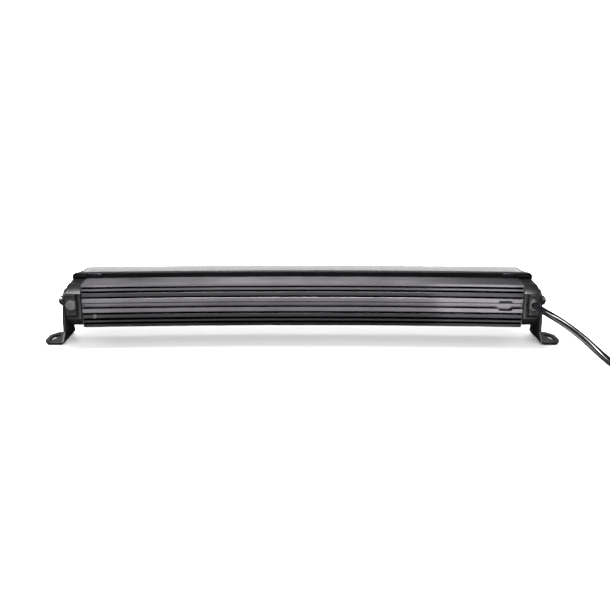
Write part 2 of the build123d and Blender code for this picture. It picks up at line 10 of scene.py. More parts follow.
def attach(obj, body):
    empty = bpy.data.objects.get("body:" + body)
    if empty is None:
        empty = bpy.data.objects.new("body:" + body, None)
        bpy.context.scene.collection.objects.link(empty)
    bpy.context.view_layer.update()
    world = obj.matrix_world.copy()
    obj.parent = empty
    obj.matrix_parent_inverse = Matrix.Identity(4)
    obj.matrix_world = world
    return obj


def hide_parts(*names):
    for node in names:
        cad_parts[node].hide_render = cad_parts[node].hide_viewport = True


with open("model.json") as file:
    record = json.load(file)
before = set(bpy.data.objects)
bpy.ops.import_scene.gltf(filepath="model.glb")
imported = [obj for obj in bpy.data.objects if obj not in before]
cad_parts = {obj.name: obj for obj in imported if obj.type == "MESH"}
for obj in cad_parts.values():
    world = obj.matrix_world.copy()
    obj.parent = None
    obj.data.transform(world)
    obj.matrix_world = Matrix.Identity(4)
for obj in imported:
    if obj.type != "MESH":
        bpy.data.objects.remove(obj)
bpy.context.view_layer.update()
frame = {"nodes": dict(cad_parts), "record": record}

# LED light bar on two tilting feet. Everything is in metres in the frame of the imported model:
# +X runs along the bar to its cable, +Y is the way the light shines, +Z is up.
MM = 0.001
BEND_R = 3.9
FACE_Z = 0.04265
SLOT_Z = 0.0425
PIVOT = Vector((0.2818, -0.0217, 0.0465))

# ---------- camera ----------
CAMERA_PLACE = (0.0, -0.9387, 0.288)
CAMERA_PITCH = 15.1
CAMERA_LENS = 46.8
CAMERA_SHIFT = 0.0043


def add_camera():
    data = bpy.data.cameras.new("camera")
    data.lens = CAMERA_LENS
    data.sensor_width = 36
    data.shift_x = CAMERA_SHIFT
    data.clip_start = 0.01
    camera = bpy.data.objects.new("camera", data)
    camera.location = CAMERA_PLACE
    camera.rotation_euler = (math.radians(90 - CAMERA_PITCH), 0, 0)
    bpy.context.scene.collection.objects.link(camera)
    bpy.context.scene.camera = camera


# ---------- node helpers ----------
def new_material(name, color, roughness, metallic=0.0):
    material = bpy.data.materials.new(name)
    material.use_nodes = True
    tree = material.node_tree
    shader = tree.nodes["Principled BSDF"]
    shader.inputs["Base Color"].default_value = (*color, 1)
    shader.inputs["Roughness"].default_value = roughness
    shader.inputs["Metallic"].default_value = metallic
    return material, tree, shader


def coords(tree, stretch=(1, 1, 1), shift=(0, 0, 0)):
    """Object coordinates, stretched and then shifted."""
    coordinate = tree.nodes.new("ShaderNodeTexCoord")
    mapping = tree.nodes.new("ShaderNodeMapping")
    mapping.inputs["Scale"].default_value = stretch
    mapping.inputs["Location"].default_value = shift
    tree.links.new(coordinate.outputs["Object"], mapping.inputs["Vector"])
    return mapping.outputs["Vector"]


def noise(tree, vector, scale, detail=3.0, roughness=0.5):
    node = tree.nodes.new("ShaderNodeTexNoise")
    node.inputs["Scale"].default_value = scale
    node.inputs["Detail"].default_value = detail
    node.inputs["Roughness"].default_value = roughness
    tree.links.new(vector, node.inputs["Vector"])
    return node.outputs["Fac"]


def span(tree, value, low, high, start=0.0, end=1.0):
    """Stretch a value from low..high to start..end, and no further."""
    node = tree.nodes.new("ShaderNodeMapRange")
    node.inputs["From Min"].default_value = low
    node.inputs["From Max"].default_value = high
    node.inputs["To Min"].default_value = start
    node.inputs["To Max"].default_value = end
    tree.links.new(value, node.inputs["Value"])
    return node.outputs["Result"]


def mix_color(tree, factor, first, second):
    node = tree.nodes.new("ShaderNodeMix")
    node.data_type = "RGBA"
    tree.links.new(factor, node.inputs["Factor"])
    for socket, color in ((node.inputs["A"], first), (node.inputs["B"], second)):
        if isinstance(color, tuple):
            socket.default_value = (*color, 1)
        else:
            tree.links.new(color, socket)
    return node.outputs["Result"]


def bump(tree, shader, height, distance, strength=1.0, below=None):
    node = tree.nodes.new("ShaderNodeBump")
    node.inputs["Strength"].default_value = strength
    node.inputs["Distance"].default_value = distance
    tree.links.new(height, node.inputs["Height"])
    if below is not None:
        tree.links.new(below, node.inputs["Normal"])
    tree.links.new(node.outputs["Normal"], shader.inputs["Normal"])
    return node.outputs["Normal"]


def axes(tree, stretch=(1, 1, 1), shift=(0, 0, 0)):
    """Object coordinates as three separate values, named X, Y and Z."""
    node = tree.nodes.new("ShaderNodeSeparateXYZ")
    tree.links.new(coords(tree, stretch, shift), node.inputs["Vector"])
    return node.outputs


def joined(tree, operation, first, second):
    """One value out of two, by an operation of the Math node."""
    node = tree.nodes.new("ShaderNodeMath")
    node.operation = operation
    tree.links.new(first, node.inputs[0])
    tree.links.new(second, node.inputs[1])
    return node.outputs["Value"]


# ---------- bands of painted shade on the housing ---
# Heights are from the middle of the T-slot. Depths are from the middle of the bar, with its bend taken out.
LIPS_END, FINS_START = 0.0088, 0.0108
FINS_FADE, FINS_END = 0.0140, 0.0225
SHADE_START, SHADE_FULL, SHADE_FADE, SHADE_END = 0.0012, 0.0017, 0.0062, 0.0066
INSIDE_START, INSIDE_FULL = -0.0246, -0.0240
BEND_STRETCH = math.sqrt(0.5 / BEND_R)


def painted_fin_shade(tree):
    """1 on the fins above and below the T-slot's lips, where shade is painted, and 0 on the top plate."""
    height = axes(tree, shift=(0, 0, -SLOT_Z))["Z"]
    above = span(tree, height, LIPS_END, FINS_START)
    below = span(tree, height, -LIPS_END, -FINS_START)
    short_of_top = span(tree, height, FINS_FADE, FINS_END, 1, 0)
    return joined(tree, "MULTIPLY", joined(tree, "MAXIMUM", above, below), short_of_top)


def slot_shade(tree):
    """1 high on the T-slot's floor, under its upper lip, where shade is painted."""
    spot = axes(tree, (BEND_STRETCH, 1, 1), (0, 0, -SLOT_Z))
    bend = joined(tree, "MULTIPLY", spot["X"], spot["X"])
    depth = joined(tree, "ADD", bend, spot["Y"])
    inside = span(tree, depth, INSIDE_START, INSIDE_FULL)
    high = span(tree, spot["Z"], SHADE_START, SHADE_FULL)
    under_top = span(tree, spot["Z"], SHADE_FADE, SHADE_END, 1, 0)
    return joined(tree, "MULTIPLY", inside, joined(tree, "MULTIPLY", high, under_top))


# ---------- materials ----------
FIN_SHADE_TONE, SHADE_TONE = 0.38, 0.12


def scaled(color, factor):
    return tuple(factor * c for c in color)


def dark_coat(
    name, dark, light, roughness=(0.30, 0.42), grain=0.00003, metallic=0.0, extruded=False, gloss_level=0.5
):
    """A black coat or anodised skin: cloudy tone and fine orange peel.

    An extruded one also has draw lines, painted shade that darkens its fins, and painted shade under the
    T-slot's upper lip.
    """
    material, tree, shader = new_material(name, dark, roughness[0], metallic)
    cloud = noise(tree, coords(tree, (1, 2, 2)), 14, 4)
    color = mix_color(tree, span(tree, cloud, 0.35, 0.65), dark, light)
    speck = noise(tree, coords(tree), 2600, 1)
    color = mix_color(tree, span(tree, speck, 0.62, 0.72, 0, 0.35), color, scaled(light, 3.2))
    if extruded:
        # painted shade: the fins above and below the T-slot darker than its lips
        color = mix_color(tree, painted_fin_shade(tree), color, scaled(dark, FIN_SHADE_TONE))
        # painted shade on the T-slot's floor under its upper lip
        color = mix_color(tree, slot_shade(tree), color, scaled(dark, SHADE_TONE))
    tree.links.new(color, shader.inputs["Base Color"])
    gloss = noise(tree, coords(tree, (0.3, 1, 1)), 60, 3)
    tree.links.new(span(tree, gloss, 0.3, 0.7, *roughness), shader.inputs["Roughness"])
    peel = noise(tree, coords(tree), 900, 2)
    normal = bump(tree, shader, peel, grain, 0.6)
    if extruded:
        lines = noise(tree, coords(tree, (0.004, 1, 1)), 1500, 2, 0.7)
        bump(tree, shader, lines, 0.00002, 0.35, normal)
        shader.inputs["Anisotropic"].default_value = 0.9
        around = tree.nodes.new("ShaderNodeTangent")
        around.direction_type = "RADIAL"
        around.axis = "X"
        tree.links.new(around.outputs["Tangent"], shader.inputs["Tangent"])
    shader.inputs["Specular IOR Level"].default_value = gloss_level
    return material


def worn_metal(name, dark, light, roughness, grain=0.00001, turned=None):
    """Bare metal with a brushed or turned grain. turned is the (y, z) of the turning axis."""
    material, tree, shader = new_material(name, dark, roughness[0], 1.0)
    if turned:
        vector = coords(tree, (0, 1, 1), (0, -turned[0], -turned[1]))
        length = tree.nodes.new("ShaderNodeVectorMath")
        length.operation = "LENGTH"
        tree.links.new(vector, length.inputs[0])
        rings = tree.nodes.new("ShaderNodeCombineXYZ")
        tree.links.new(length.outputs["Value"], rings.inputs["X"])
        streak = noise(tree, rings.outputs["Vector"], 4200, 3, 0.8)
    else:
        streak = noise(tree, coords(tree, (1, 12, 1)), 700, 3, 0.7)
    color = mix_color(tree, span(tree, streak, 0.3, 0.7), dark, light)
    stain = noise(tree, coords(tree), 160, 4)
    color = mix_color(tree, span(tree, stain, 0.55, 0.75, 0, 0.4), color, scaled(dark, 0.6))
    tree.links.new(color, shader.inputs["Base Color"])
    tree.links.new(span(tree, streak, 0.25, 0.75, *roughness), shader.inputs["Roughness"])
    bump(tree, shader, streak, grain, 0.5)
    return material


def rubber(name, dark, light, roughness=(0.5, 0.7), grain=0.00006, scale=700, gloss_level=0.5):
    """Moulded rubber or plastic: fine pores, a little dust and uneven sheen."""
    material, tree, shader = new_material(name, dark, roughness[0])
    dust = noise(tree, coords(tree), 45, 4, 0.65)
    color = mix_color(tree, span(tree, dust, 0.4, 0.75), dark, light)
    tree.links.new(color, shader.inputs["Base Color"])
    pores = noise(tree, coords(tree), scale, 3, 0.6)
    tree.links.new(span(tree, pores, 0.3, 0.7, *roughness), shader.inputs["Roughness"])
    bump(tree, shader, pores, grain, 0.6)
    shader.inputs["Specular IOR Level"].default_value = gloss_level
    return material


def silvered(name):
    """Vacuum-silvered plastic: almost a mirror, with faint ripples and a warmer film in places."""
    material, tree, shader = new_material(name, (0.90, 0.91, 0.92), 0.09, 1.0)
    film = noise(tree, coords(tree), 30, 3)
    tree.links.new(
        mix_color(tree, span(tree, film, 0.35, 0.7), (0.78, 0.79, 0.80), (0.66, 0.67, 0.69)),
        shader.inputs["Base Color"],
    )
    tree.links.new(span(tree, film, 0.3, 0.7, 0.07, 0.16), shader.inputs["Roughness"])
    ripple = noise(tree, coords(tree), 220, 2)
    bump(tree, shader, ripple, 0.00008, 0.25)
    return material


LENS_CLEAR, LENS_HAZY = (0.95, 0.957, 0.96), (0.90, 0.915, 0.925)
# painted shade: the grey of the lens's top wall
LENS_WALL_SHADE = (0.765, 0.745, 0.76)
LENS_WALL_START, LENS_WALL_FULL = 0.0675, 0.0715


def clear_plastic(name):
    """Clear polycarbonate with a hard coat: faint flow waves, a trace of haze, and painted shade that greys
    the top wall.
    """
    material, tree, shader = new_material(name, (0.965, 0.975, 0.98), 0.03)
    shader.inputs["Transmission Weight"].default_value = 1.0
    shader.inputs["IOR"].default_value = 1.56
    haze = noise(tree, coords(tree, (0.4, 1, 1)), 24, 3)
    tree.links.new(span(tree, haze, 0.35, 0.7, 0.015, 0.06), shader.inputs["Roughness"])
    color = mix_color(tree, span(tree, haze, 0.3, 0.7), LENS_CLEAR, LENS_HAZY)
    # painted shade: the lens's top wall tinted grey
    wall_shade = span(tree, axes(tree)["Z"], LENS_WALL_START, LENS_WALL_FULL)
    color = mix_color(tree, wall_shade, color, LENS_WALL_SHADE)
    tree.links.new(color, shader.inputs["Base Color"])
    waves = noise(tree, coords(tree, (0.5, 1, 1)), 60, 2)
    bump(tree, shader, waves, 0.00001, 0.05)
    return material


def circuit_board(name, mask, copper, roughness=0.35):
    """Solder mask with traces showing as slightly lighter, raised bands."""
    material, tree, shader = new_material(name, mask, roughness)
    bricks = tree.nodes.new("ShaderNodeTexBrick")
    bricks.inputs["Scale"].default_value = 1.0
    bricks.inputs["Brick Width"].default_value = 0.013
    bricks.inputs["Row Height"].default_value = 0.0045
    bricks.inputs["Mortar Size"].default_value = 0.0004
    spot = axes(tree)
    upright = tree.nodes.new("ShaderNodeCombineXYZ")
    tree.links.new(spot["X"], upright.inputs["X"])
    tree.links.new(spot["Z"], upright.inputs["Y"])
    tree.links.new(upright.outputs["Vector"], bricks.inputs["Vector"])
    traces = bricks.outputs["Fac"]
    cloud = noise(tree, coords(tree), 260, 3)
    color = mix_color(tree, traces, copper, mask)
    color = mix_color(tree, span(tree, cloud, 0.4, 0.8, 0, 0.25), color, scaled(mask, 0.7))
    tree.links.new(color, shader.inputs["Base Color"])
    tree.links.new(span(tree, cloud, 0.3, 0.7, roughness, roughness + 0.15), shader.inputs["Roughness"])
    bump(tree, shader, traces, 0.00004, 0.5)
    return material


def make_materials():
    skin_dark, skin_light = (0.068, 0.065, 0.070), (0.086, 0.082, 0.088)
    made = {}

    def add(maker, name, *values, **more):
        made[name] = maker(name, *values, **more)

    add(dark_coat, "body_coat", skin_dark, skin_light, (0.30, 0.38), 0.00002, metallic=1.0, extruded=True)
    add(
        dark_coat, "cap_coat", (0.006, 0.0057, 0.0063), (0.012, 0.0113, 0.0125), (0.34, 0.46), 0.00006,
        gloss_level=0.16,
    )
    add(
        dark_coat, "frame_coat", (0.003, 0.003, 0.0034), (0.006, 0.006, 0.007), (0.34, 0.44),
        gloss_level=0.14,
    )
    add(
        dark_coat, "bracket_coat", (0.007, 0.0067, 0.0073), (0.013, 0.0124, 0.0135), (0.38, 0.50), 0.00006,
        gloss_level=0.18,
    )
    add(clear_plastic, "clear_lens")
    add(silvered, "reflector")
    add(worn_metal, "stainless", (0.26, 0.26, 0.27), (0.42, 0.42, 0.42), (0.20, 0.34), turned=PIVOT.yz)
    add(worn_metal, "black_steel", (0.02, 0.02, 0.022), (0.05, 0.05, 0.055), (0.3, 0.45))
    add(worn_metal, "spring_steel", (0.20, 0.20, 0.21), (0.34, 0.34, 0.34), (0.25, 0.4), turned=PIVOT.yz)
    add(rubber, "seal_rubber", (0.018, 0.018, 0.019), (0.035, 0.035, 0.036))
    add(rubber, "gland_rubber", (0.014, 0.014, 0.015), (0.032, 0.031, 0.033), (0.42, 0.6))
    add(
        rubber, "cable_jacket", (0.005, 0.005, 0.006), (0.011, 0.011, 0.012), (0.09, 0.14), 0.000005,
        gloss_level=0.2,
    )
    add(rubber, "plug_rubber", (0.035, 0.033, 0.037), (0.085, 0.08, 0.088), (0.6, 0.8), 0.00025, 1400)
    add(rubber, "plug_plastic", (0.012, 0.012, 0.013), (0.022, 0.022, 0.023), (0.36, 0.5))
    add(rubber, "wedge_plastic", (0.50, 0.18, 0.03), (0.62, 0.26, 0.05), (0.35, 0.5))
    add(worn_metal, "pin_brass", (0.60, 0.44, 0.18), (0.78, 0.62, 0.32), (0.2, 0.35))
    add(rubber, "tie_plastic", (0.014, 0.014, 0.014), (0.03, 0.03, 0.03), (0.3, 0.45))
    add(rubber, "vent_plastic", (0.02, 0.02, 0.021), (0.05, 0.05, 0.05), (0.35, 0.5))
    add(circuit_board, "core_board", (0.74, 0.74, 0.71), (0.62, 0.62, 0.60))
    add(circuit_board, "fibre_board", (0.01, 0.055, 0.025), (0.02, 0.12, 0.05))
    add(rubber, "component", (0.02, 0.02, 0.022), (0.05, 0.05, 0.052), (0.4, 0.6))
    add(rubber, "led_package", (0.86, 0.62, 0.06), (0.93, 0.76, 0.18), (0.15, 0.3), 0.00003)
    add(rubber, "thermal_sheet", (0.26, 0.30, 0.36), (0.36, 0.41, 0.46), (0.6, 0.8))
    add(rubber, "wire_skin", (0.30, 0.012, 0.01), (0.42, 0.03, 0.02), (0.3, 0.45))
    return made


def finish(piece, materials, slot, body="light_bar"):
    """Give a new piece the material of its record slot, and its body."""
    piece.data.materials.clear()
    piece.data.materials.append(materials[slot])
    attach(piece, body)
    return piece


def paint_nodes(materials):
    for entry in frame["record"]["subparts"]:
        node = frame["nodes"][entry["node"]]
        node.data.materials.clear()
        node.data.materials.append(materials[entry["material_slot"]])


# ---------- studio ----------
WHITE = (1, 1, 1, 1)
WORLD_STRENGTH = 1.1
FLOOR_HALF = 6.0
PANEL_Y, PANEL_DEPTH = -0.19, 0.22
OVER_FLOOR, OVER_PANEL = 0.001, 0.0012


def add_floor():
    """A pale floor that isn't seen in reflections or through the lens, so that blacks stay deep."""
    mesh = bpy.data.meshes.new("floor")
    h = FLOOR_HALF
    mesh.from_pydata([(-h, -h, 0), (h, -h, 0), (h, h, 0), (-h, h, 0)], [], [(0, 1, 2, 3)])
    floor = bpy.data.objects.new("floor", mesh)
    bpy.context.scene.collection.objects.link(floor)
    material, _, shader = new_material("floor", (0.93, 0.93, 0.93), 0.9)
    shader.inputs["Specular IOR Level"].default_value = 0.0
    mesh.materials.append(material)
    floor.visible_glossy = False
    floor.visible_transmission = False


def add_area(name, place, target, size, power, matt=True, gloss=True, through=True):
    """A soft light.

    matt=False keeps its light off what is matt, gloss=False hides it from reflections and from the lens,
    and through=False hides it from the lens alone.
    """
    data = bpy.data.lights.new(name, "AREA")
    data.shape = "RECTANGLE"
    data.size, data.size_y = size
    data.energy = power
    light = bpy.data.objects.new(name, data)
    light.location = place
    light.rotation_euler = (Vector(target) - Vector(place)).to_track_quat("-Z", "Y").to_euler()
    light.visible_camera = False
    light.visible_diffuse = matt
    light.visible_glossy = gloss
    light.visible_transmission = gloss and through
    bpy.context.scene.collection.objects.link(light)


def add_floor_panel(name, x, width, height, power):
    """A light that lies on the floor behind the bar, where the rear faces mirror it."""
    add_area(name, (x, PANEL_Y, height), (x, PANEL_Y, 1.0), (width, PANEL_DEPTH), power)


def add_studio():
    add_floor()
    world = bpy.data.worlds.new("studio")
    bpy.context.scene.world = world
    world.use_nodes = True
    background = world.node_tree.nodes["Background"]
    background.inputs["Color"].default_value = WHITE
    background.inputs["Strength"].default_value = WORLD_STRENGTH
    world.cycles_visibility.glossy = False
    # back_strip: the sheen on the lens and the top plate. top_strip and low_back: the soft shadow.
    # edge_strip and side_strip: the bright lines on the fins. Floor panels: the tone of the rear faces.
    middle = (0.0, 0, 0.06)
    add_area("back_strip", (0.0, 1.25, 0.42), middle, (2.6, 0.6), 3.0, through=False)
    add_area("top_strip", (-0.10, 0.45, 0.80), (-0.05, 0, 0.06), (1.05, 0.25), 17, gloss=False)
    add_area("edge_strip", (0.0, -0.25, 1.0), middle, (0.65, 0.16), 30, matt=False)
    add_area("side_strip", (-0.25, -0.22, 1.0), (-0.20, 0, 0.06), (1.3, 0.16), 38, matt=False)
    add_area("low_back", (0.0, 0.90, 0.165), (0.0, 0, 0.0), (1.8, 0.06), 60, gloss=False)
    add_floor_panel("front_panel", 0.0, 0.57, OVER_FLOOR, 1.92)
    add_floor_panel("front_right", 0.2275, 0.115, OVER_PANEL, 0.53)
    add_floor_panel("front_left", -0.265, 0.04, OVER_PANEL, 0.10)
    add_area("right_light", (0.95, -0.55, 0.80), (0.30, -0.1, 0.04), (0.06, 0.30), 2.5, matt=False)
    add_area("left_light", (-1.0, -0.5, 0.6), (-0.25, 0, 0.04), (0.3, 0.4), 4, matt=False)
    view = bpy.context.scene.view_settings
    view.view_transform = "Standard"
    view.look = "None"


# ---------- power cable ----------
CABLE_D = 8.0
CABLE_ROUTE = [
    (272.2, -34.5, 45.3),
    (273.6, -52.5, 45.1),
    (281.5, -68.0, 42.0),
    (296.0, -84.0, 34.8),
    (313.0, -101.0, 22.5),
    (325.5, -121.0, 10.5),
    (334.5, -141.0, 4.3),
    (346.0, -157.0, 4.2),
    (363.0, -169.0, 5.0),
]
TAIL_ROUTE = [
    (429.4, -117.7, 13.6),
    (423.5, -100.5, 14.0),
    (419.0, -82.5, 12.6),
    (417.5, -64.0, 9.8),
    (417.5, -60.0, 9.8),
]
COIL_CENTRE = (389.6, -131.2)
COIL_START = math.radians(-125.2)
COIL_TURNS = 2.4
COIL_STEPS = 24
LOW_Z, HIGH_Z = 5.0, 13.2
OUTER_TURN_R, INNER_TURN_R, TOP_TURN_R = 46.2, 37.8, 42.0
# the turns over which the coil draws in, widens again and climbs
DRAW_IN, WIDEN, CLIMB = (0.6, 0.98), (1.55, 1.8), (1.55, 1.85)


def ease(t, start, end):
    s = min(max((t - start) / (end - start), 0), 1)
    return s * s * (3 - 2 * s)


def coil_point(t):
    """Two turns side by side on the floor, then the last one lies on top of them."""
    radius = OUTER_TURN_R + (INNER_TURN_R - OUTER_TURN_R) * ease(t, *DRAW_IN)
    radius += (TOP_TURN_R - INNER_TURN_R) * ease(t, *WIDEN)
    height = LOW_Z + (HIGH_Z - LOW_Z) * ease(t, *CLIMB)
    angle = COIL_START + 2 * math.pi * t
    x = COIL_CENTRE[0] + radius * math.cos(angle)
    y = COIL_CENTRE[1] + radius * math.sin(angle)
    return (x, y, height)


def coil_points():
    count = round(COIL_TURNS * COIL_STEPS)
    return [coil_point(i / COIL_STEPS) for i in range(1, count)]


def add_cable(materials):
    points = CABLE_ROUTE + coil_points() + TAIL_ROUTE
    curve = bpy.data.curves.new("power_lead", "CURVE")
    curve.dimensions = "3D"
    curve.bevel_depth = CABLE_D / 2 * MM
    curve.bevel_resolution = 8
    curve.use_fill_caps = True
    curve.resolution_u = 8
    spline = curve.splines.new("NURBS")
    spline.points.add(len(points) - 1)
    for target, point in zip(spline.points, points):
        target.co = (*(Vector(point) * MM), 1)
    spline.order_u = 3
    spline.use_endpoint_u = True
    lead = bpy.data.objects.new("power_lead", curve)
    bpy.context.scene.collection.objects.link(lead)
    finish(lead, materials, "cable_jacket")
    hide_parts("power_cable", "cable_coil", "cable_tail")
    return lead


# ---------- mesh helpers, in millimetres ----------
def facing(origin, direction):
    """A matrix at a point, with its Z along a direction."""
    matrix = Vector(direction).to_track_quat("Z", "Y").to_matrix().to_4x4()
    matrix.translation = origin
    return matrix


def turn_at(x):
    return math.asin(x * MM / BEND_R)


def on_bar(x, y, z, out=1):
    """A matrix on the bent bar, with its Z out of the lens, or out of the back for out=-1."""
    turn, radius = turn_at(x), BEND_R / MM + y
    spot = (radius * math.sin(turn), radius * math.cos(turn) - BEND_R / MM, z)
    return facing(spot, (out * math.sin(turn), out * math.cos(turn), 0))


def six_sided(radius, angle):
    """The distance to a hexagon's edge; radius is across its corners."""
    third = math.pi / 3
    return radius * math.cos(third / 2) / math.cos(angle % third - third / 2)


def lathe(mesh, profile, place, steps=48, closed=False):
    """Turn (radius, height) points about the place's Z. A third value of 6 makes a ring a hexagon."""
    rings = []
    for radius, height, *sides in profile:
        if radius < 1e-6:
            rings.append([mesh.verts.new(place @ Vector((0, 0, height)))])
            continue
        ring = []
        for i in range(steps):
            angle = 2 * math.pi * i / steps
            reach = six_sided(radius, angle) if sides else radius
            point = Vector((reach * math.cos(angle), reach * math.sin(angle), height))
            ring.append(mesh.verts.new(place @ point))
        rings.append(ring)
    pairs = list(zip(rings, rings[1:]))
    if closed:
        pairs.append((rings[-1], rings[0]))
    for low, high in pairs:
        for i in range(steps):
            j = (i + 1) % steps
            corners = [low[i % len(low)], low[j % len(low)], high[j % len(high)], high[i % len(high)]]
            mesh.faces.new(dict.fromkeys(corners))


def slab(mesh, outline, low, high, place):
    """A flat outline of (x, y) points, made solid between two heights of the place's Z."""
    floor = [mesh.verts.new(place @ Vector((x, y, low))) for x, y in outline]
    roof = [mesh.verts.new(place @ Vector((x, y, high))) for x, y in outline]
    mesh.faces.new(floor)
    mesh.faces.new(roof)
    for i in range(len(outline)):
        j = (i + 1) % len(outline)
        mesh.faces.new((floor[i], floor[j], roof[j], roof[i]))


def rounded(corners, radius, steps=8):
    """A convex outline a radius outside these corners, which run anticlockwise."""
    outline = []
    count = len(corners)
    for i in range(count):
        before, here, after = (Vector(corners[k % count]) for k in (i - 1, i, i + 1))
        start = math.atan2(*(here - before).yx) - math.pi / 2
        end = math.atan2(*(after - here).yx) - math.pi / 2
        while end < start:
            end += 2 * math.pi
        for k in range(steps + 1):
            angle = start + (end - start) * k / steps
            outline.append(here + radius * Vector((math.cos(angle), math.sin(angle))))
    return [tuple(point) for point in outline]


def oblong(width, height, radius, steps=5):
    x, y = width / 2 - radius, height / 2 - radius
    return rounded([(-x, -y), (x, -y), (x, y), (-x, y)], radius, steps)


def ease_edges(mesh, width, segments=2, angle=32):
    """Round every edge sharper than an angle."""
    limit = math.radians(angle)
    sharp = [e for e in mesh.edges if len(e.link_faces) == 2 and e.calc_face_angle() > limit]
    bmesh.ops.bevel(
        mesh, geom=sharp, offset=width, segments=segments, profile=0.5, affect="EDGES", clamp_overlap=False
    )


def to_piece(name, mesh, materials, slot, nodes=(), body="light_bar", sharp=38):
    bmesh.ops.recalc_face_normals(mesh, faces=mesh.faces)
    mesh.transform(Matrix.Scale(MM, 4))
    data = bpy.data.meshes.new(name)
    mesh.to_mesh(data)
    mesh.free()
    data.shade_smooth()
    data.set_sharp_from_angle(angle=math.radians(sharp))
    piece = bpy.data.objects.new(name, data)
    bpy.context.scene.collection.objects.link(piece)
    finish(piece, materials, slot, body)
    if nodes:
        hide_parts(*nodes)
    return piece


WELD_GAP = 0.002
SAME_PLANE = math.radians(0.6)
STRAY = 0.6


def softened(node, name, materials, width, body="light_bar", segments=2):
    """Stand in for a CAD node with the same shape and softly rounded edges.

    The rounding can throw a vertex far out. One that strays by more than STRAY widths is pulled back.
    """
    slot = next(e["material_slot"] for e in frame["record"]["subparts"] if e["node"] == node)
    mesh = bmesh.new()
    mesh.from_mesh(frame["nodes"][node].data)
    mesh.transform(Matrix.Scale(1 / MM, 4))
    bmesh.ops.remove_doubles(mesh, verts=mesh.verts, dist=WELD_GAP)
    bmesh.ops.dissolve_limit(mesh, angle_limit=SAME_PLANE, verts=mesh.verts, edges=mesh.edges)
    surface = BVHTree.FromBMesh(mesh)
    ease_edges(mesh, width, segments)
    for vert in mesh.verts:
        spot, _, _, distance = surface.find_nearest(vert.co)
        if distance > STRAY * width:
            vert.co = spot
    bmesh.ops.remove_doubles(mesh, verts=mesh.verts, dist=WELD_GAP)
    return to_piece(name, mesh, materials, slot, (node,), body, sharp=50)


# ---------- light sources and reflectors ----------
LED_COUNT, LED_PITCH = 10, 53.0
LED_SEAT = 4.65
CUP_R, CUP_FRONT, CUP_WALL = 24.5, 46.5, 1.2
CUP_BACK_R, CUP_BACK, CUP_FOOT = 6.0, 6.0, 4.75
CUP_RINGS = 20
DOME_R, DOME_SEAT, DOME_H = 2.55, 1.25, 2.5
SOLDER_X, SOLDER_Y = 2.75, 2.6


def led_places():
    return [(i - (LED_COUNT - 1) / 2) * LED_PITCH for i in range(LED_COUNT)]


def cup_radius(y):
    """A parabola through the cup's back and front edges."""
    rise = (CUP_R**2 - CUP_BACK_R**2) / (CUP_FRONT - CUP_BACK)
    return math.sqrt(CUP_BACK_R**2 + rise * (y - CUP_BACK))


def add_reflectors(materials):
    depths = [CUP_BACK + (CUP_FRONT - CUP_BACK) * (i / CUP_RINGS) ** 1.6 for i in range(CUP_RINGS + 1)]
    inner = [(cup_radius(y), y) for y in depths]
    outer = [(radius + CUP_WALL, y) for radius, y in inner]
    lip = [(CUP_R + 0.25, CUP_FRONT + 0.1), (CUP_R + 0.8, CUP_FRONT + 0.1)]
    foot = [(outer[0][0], CUP_FOOT), (CUP_BACK_R, CUP_FOOT)]
    profile = inner + lip + outer[::-1] + foot
    mesh = bmesh.new()
    for x in led_places():
        lathe(mesh, profile, on_bar(x, 0, FACE_Z / MM), 72, closed=True)
    to_piece("reflector_bowls", mesh, materials, "reflector", ("reflector_cups",))


def add_leds(materials):
    bases, chips, domes = bmesh.new(), bmesh.new(), bmesh.new()
    collar = [(0, 0.7), (3.1, 0.7), (3.1, 1.15), (2.9, 1.25), (2.65, 1.25), (2.6, 1.0), (0, 1.0)]
    rises = [i * math.pi / 18 for i in range(1, 9)]
    dome = [(DOME_R, DOME_SEAT)]
    dome += [(DOME_R * math.cos(a), DOME_SEAT + DOME_H * math.sin(a)) for a in rises]
    dome += [(0, DOME_SEAT + DOME_H)]
    for x in led_places():
        seat = on_bar(x, LED_SEAT, FACE_Z / MM)
        slab(bases, oblong(7.0, 7.0, 0.5), 0.02, 0.75, seat)
        lathe(bases, collar, seat)
        slab(chips, oblong(3.3, 3.3, 0.2), 0.9, 1.15, seat)
        for x_off in (-SOLDER_X, SOLDER_X):
            spot = seat @ Matrix.Translation((x_off, SOLDER_Y, 0))
            slab(bases, oblong(0.8, 0.8, 0.2), 0.7, 0.95, spot)
        lathe(domes, [(0, 1.2)] + dome, seat)
    ease_edges(bases, 0.12)
    to_piece("led_bases", bases, materials, "core_board", ("leds",))
    to_piece("led_chips", chips, materials, "led_package")
    to_piece("led_domes", domes, materials, "clear_lens")


# ---------- fasteners ----------
CAP_SCREW = {"head_r": 3.5, "head_h": 2.2, "shank_r": 1.9, "shank": 22, "socket": 1.5}
CLIP_SCREW = {"head_r": 1.8, "head_h": 0.9, "shank_r": 1.25, "shank": 4.6, "socket": 0.95}
BOARD_SCREW = {"head_r": 2.75, "head_h": 1.8, "shank_r": 1.5, "shank": 5.6, "socket": 1.3}
CAP_PLANE_X, CAP_SEAT = 262.0, 9.5
CAP_SCREW_PLACES = ((-19.0, 55.5), (-19.0, 29.5), (6.6, 61.3), (6.6, 22.9))
CLIP_SCREW_X, CLIP_SEAT_Y, CLIP_SCREW_HEIGHTS = 246.5, 11.3, (71.4, 13.5)
WASHER_X, SPRING_X, BOLT_HEAD_X = 283.5, 284.75, 286.3
THREAD_TURNS = 14
SPRING_START, SPRING_SWEEP, SPRING_LIFT = 94, 352, 0.22


